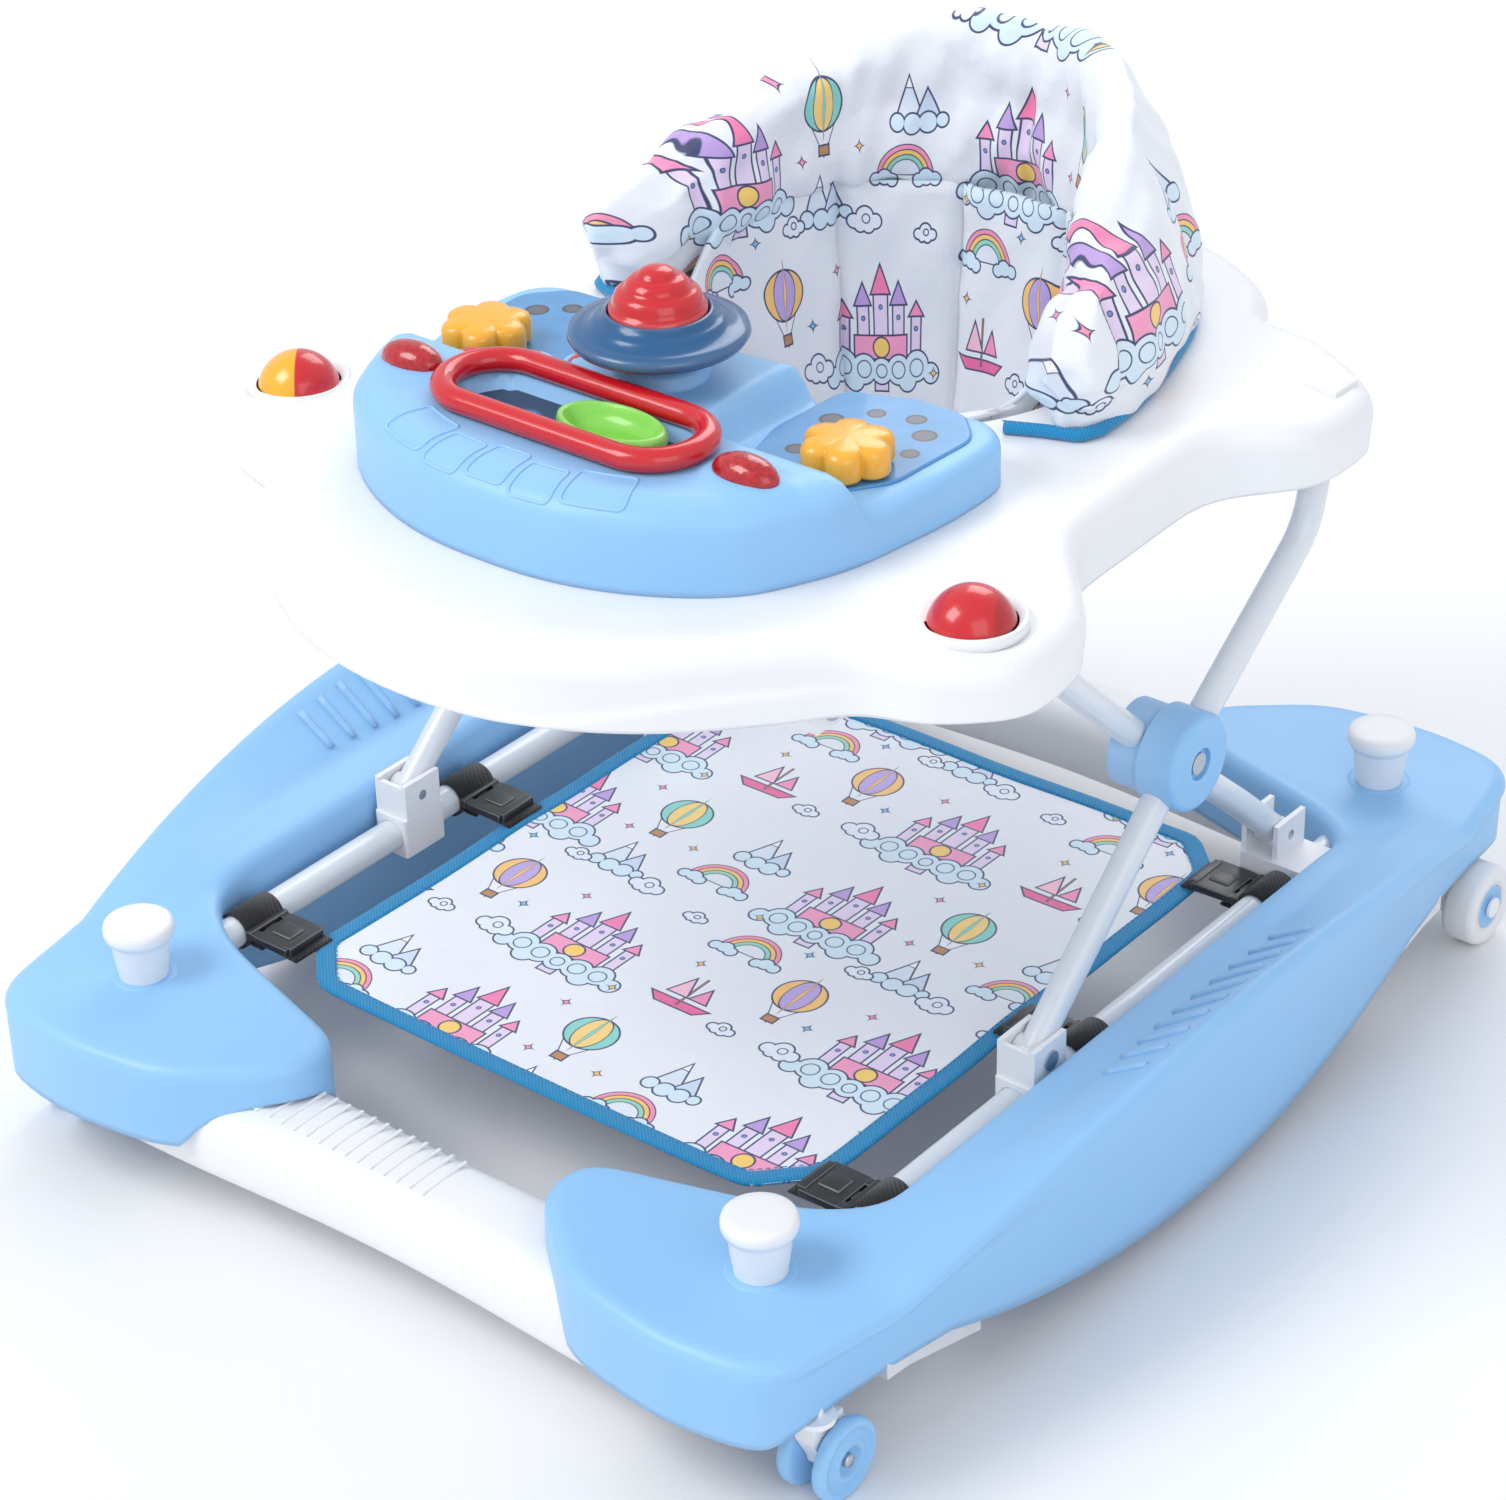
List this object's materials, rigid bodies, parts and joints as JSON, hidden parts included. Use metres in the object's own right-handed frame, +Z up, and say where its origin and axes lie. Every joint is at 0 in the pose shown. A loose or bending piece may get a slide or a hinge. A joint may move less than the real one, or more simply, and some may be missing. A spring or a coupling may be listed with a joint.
{
  "type": "baby walker",
  "caption": "Baby walker with curved rocker sides, swivel casters, folding X-frame legs, a toy tray with steering wheel, and a padded hooded seat.",
  "frame": {"origin": "on the floor under the middle of the base", "axes": "+Z up, +X to the right seen from the front, front (toy tray) towards -Y, length along Y"},
  "size_m": [0.586, 0.7024, 0.5167],
  "materials": {
    "blue_plastic": "fine matt moulded ABS, sky blue",
    "caster_blue": "smooth moulded plastic, sky blue",
    "white_plastic": "fine matt moulded plastic, white",
    "soft_tyre": "white elastomer tread",
    "grip_pad": "white elastomer brake pad",
    "foot_rubber": "grey elastomer foot",
    "painted_tube": "white powder coat",
    "steel": "zinc-plated",
    "printed_fabric": "woven polyester with a line print",
    "webbing": "black woven webbing",
    "black_plastic": "black moulded plastic",
    "wheel_blue": "gloss deep blue",
    "red_plastic": "gloss red",
    "red_lens": "translucent red lens",
    "yellow_plastic": "gloss yellow",
    "green_plastic": "gloss light green",
    "panel_blue": "smooth blue panel"
  },
  "bodies": {
    "base": {"left_rocker": "blue_plastic", "right_rocker": "blue_plastic", "front_crossbar": "white_plastic", "rear_crossbar": "white_plastic", "base_screws": "steel", "side_rails": "painted_tube", "rear_brackets": "white_plastic", "rear_pivot_pins": "steel", "friction_pads": "grip_pad", "left_rear_wheel_mount": "white_plastic", "right_rear_wheel_mount": "white_plastic", "floor_mat": "printed_fabric", "mat_straps": "webbing", "strap_buckles": "black_plastic"},
    "inner_legs": {"left_inner_leg": "painted_tube", "right_inner_leg": "painted_tube", "inner_cross_tube": "painted_tube", "hub_clamps": "blue_plastic", "hub_pins": "steel"},
    "outer_legs": {"left_outer_leg": "painted_tube", "right_outer_leg": "painted_tube", "hub_caps": "blue_plastic"},
    "sliding_brackets": {"sliding_brackets": "white_plastic", "front_pivot_pins": "steel"},
    "tray": {"tray_shell": "white_plastic", "tray_pivots": "white_plastic", "height_racks": "white_plastic", "toy_tray": "blue_plastic", "play_ring": "red_plastic", "light_lenses": "red_lens", "flower_panels": "panel_blue", "sound_box": "white_plastic", "seat_pad": "printed_fabric", "seat_sling": "printed_fabric"},
    "steering_wheel": {"steering_wheel": "wheel_blue"},
    "horn_button": {"horn_button": "red_plastic"},
    "left_flower": {"left_flower": "yellow_plastic"},
    "right_flower": {"right_flower": "yellow_plastic"},
    "slider_dish": {"slider_dish": "green_plastic"},
    "tune_button_1": {"tune_button_1": "red_plastic"},
    "tune_button_2": {"tune_button_2": "red_plastic"},
    "tune_button_3": {"tune_button_3": "red_plastic"},
    "left_ball": {"left_ball": "yellow_plastic"},
    "right_ball": {"right_ball": "red_plastic"},
    "left_caster": {"left_caster_fork": "white_plastic"},
    "left_caster_wheels": {"left_caster_wheels": "caster_blue"},
    "left_rear_wheel": {"left_rear_tyre": "soft_tyre", "left_rear_hub": "caster_blue"},
    "right_caster": {"right_caster_fork": "white_plastic"},
    "right_caster_wheels": {"right_caster_wheels": "caster_blue"},
    "right_rear_wheel": {"right_rear_tyre": "soft_tyre", "right_rear_hub": "caster_blue"},
    "left_front_stop": {"left_front_stop_knob": "white_plastic", "left_front_stop_foot": "foot_rubber"},
    "left_rear_stop": {"left_rear_stop_knob": "white_plastic", "left_rear_stop_foot": "foot_rubber"},
    "right_front_stop": {"right_front_stop_knob": "white_plastic", "right_front_stop_foot": "foot_rubber"},
    "right_rear_stop": {"right_rear_stop_knob": "white_plastic", "right_rear_stop_foot": "foot_rubber"}
  },
  "joints": [
    {"name": "fold", "type": "hinge", "parent": "base", "child": "inner_legs", "pos_m": [0, 0.188, 0.107], "axis": [1, 0, 0], "range_deg": [0, 29], "deforming": ["seat_sling"]},
    {"name": "hub_turn", "type": "hinge", "parent": "inner_legs", "child": "outer_legs", "pos_m": [0, 0.06, 0.221], "axis": [1, 0, 0], "range_deg": [-58, 0]},
    {"name": "tray_turn", "type": "hinge", "parent": "outer_legs", "child": "tray", "pos_m": [0, 0.19, 0.35], "axis": [1, 0, 0], "range_deg": [0, 29]},
    {"name": "bracket_turn", "type": "hinge", "parent": "outer_legs", "child": "sliding_brackets", "pos_m": [0, -0.068, 0.107], "axis": [1, 0, 0], "range_deg": [0, 29]},
    {"name": "left_caster_swivel", "type": "hinge", "parent": "base", "child": "left_caster", "pos_m": [-0.26, -0.303, 0.05], "axis": [0, 0, 1], "continuous": true},
    {"name": "left_caster_spin", "type": "hinge", "parent": "left_caster", "child": "left_caster_wheels", "pos_m": [-0.26, -0.295, 0.022], "axis": [1, 0, 0], "continuous": true},
    {"name": "left_rear_wheel_spin", "type": "hinge", "parent": "base", "child": "left_rear_wheel", "pos_m": [-0.266, 0.305, 0.024], "axis": [1, 0, 0], "continuous": true},
    {"name": "right_caster_swivel", "type": "hinge", "parent": "base", "child": "right_caster", "pos_m": [0.26, -0.303, 0.05], "axis": [0, 0, 1], "continuous": true},
    {"name": "right_caster_spin", "type": "hinge", "parent": "right_caster", "child": "right_caster_wheels", "pos_m": [0.26, -0.295, 0.022], "axis": [1, 0, 0], "continuous": true},
    {"name": "right_rear_wheel_spin", "type": "hinge", "parent": "base", "child": "right_rear_wheel", "pos_m": [0.266, 0.305, 0.024], "axis": [1, 0, 0], "continuous": true},
    {"name": "left_front_stop_slide", "type": "slide", "parent": "base", "child": "left_front_stop", "axis": [0, 0, 1], "range_m": [-0.02, 0]},
    {"name": "left_rear_stop_slide", "type": "slide", "parent": "base", "child": "left_rear_stop", "axis": [0, 0, 1], "range_m": [-0.02, 0]},
    {"name": "right_front_stop_slide", "type": "slide", "parent": "base", "child": "right_front_stop", "axis": [0, 0, 1], "range_m": [-0.02, 0]},
    {"name": "right_rear_stop_slide", "type": "slide", "parent": "base", "child": "right_rear_stop", "axis": [0, 0, 1], "range_m": [-0.02, 0]},
    {"name": "steering_spin", "type": "hinge", "parent": "tray", "child": "steering_wheel", "pos_m": [0, -0.085, 0.45], "axis": [0, 0, 1], "continuous": true},
    {"name": "horn_press", "type": "slide", "parent": "steering_wheel", "child": "horn_button", "axis": [0, 0, 1], "range_m": [-0.004, 0], "stiffness_N_per_m": 400, "springref_m": 0.002},
    {"name": "left_flower_spin", "type": "hinge", "parent": "tray", "child": "left_flower", "pos_m": [-0.1165, -0.085, 0.425], "axis": [0, 0, 1], "continuous": true},
    {"name": "right_flower_spin", "type": "hinge", "parent": "tray", "child": "right_flower", "pos_m": [0.1165, -0.085, 0.425], "axis": [0, 0, 1], "continuous": true},
    {"name": "dish_slide", "type": "slide", "parent": "tray", "child": "slider_dish", "axis": [1, 0, 0], "range_m": [-0.06, 0.012]},
    {"name": "tune_button_1_press", "type": "slide", "parent": "tray", "child": "tune_button_1", "axis": [0, 0, 1], "range_m": [-0.003, 0], "stiffness_N_per_m": 300, "springref_m": 0.002},
    {"name": "tune_button_2_press", "type": "slide", "parent": "tray", "child": "tune_button_2", "axis": [0, 0, 1], "range_m": [-0.003, 0], "stiffness_N_per_m": 300, "springref_m": 0.002},
    {"name": "tune_button_3_press", "type": "slide", "parent": "tray", "child": "tune_button_3", "axis": [0, 0, 1], "range_m": [-0.003, 0], "stiffness_N_per_m": 300, "springref_m": 0.002},
    {"name": "left_ball_spin", "type": "hinge", "parent": "tray", "child": "left_ball", "pos_m": [-0.218, -0.123, 0.378], "axis": [0, 1, 0], "continuous": true},
    {"name": "right_ball_spin", "type": "hinge", "parent": "tray", "child": "right_ball", "pos_m": [0.218, -0.123, 0.378], "axis": [0, 1, 0], "continuous": true}
  ],
  "couplings": [
    {"joint": "hub_turn", "follows": "fold", "ratio": -2},
    {"joint": "tray_turn", "follows": "fold", "ratio": 1},
    {"joint": "bracket_turn", "follows": "fold", "ratio": 1}
  ]
}
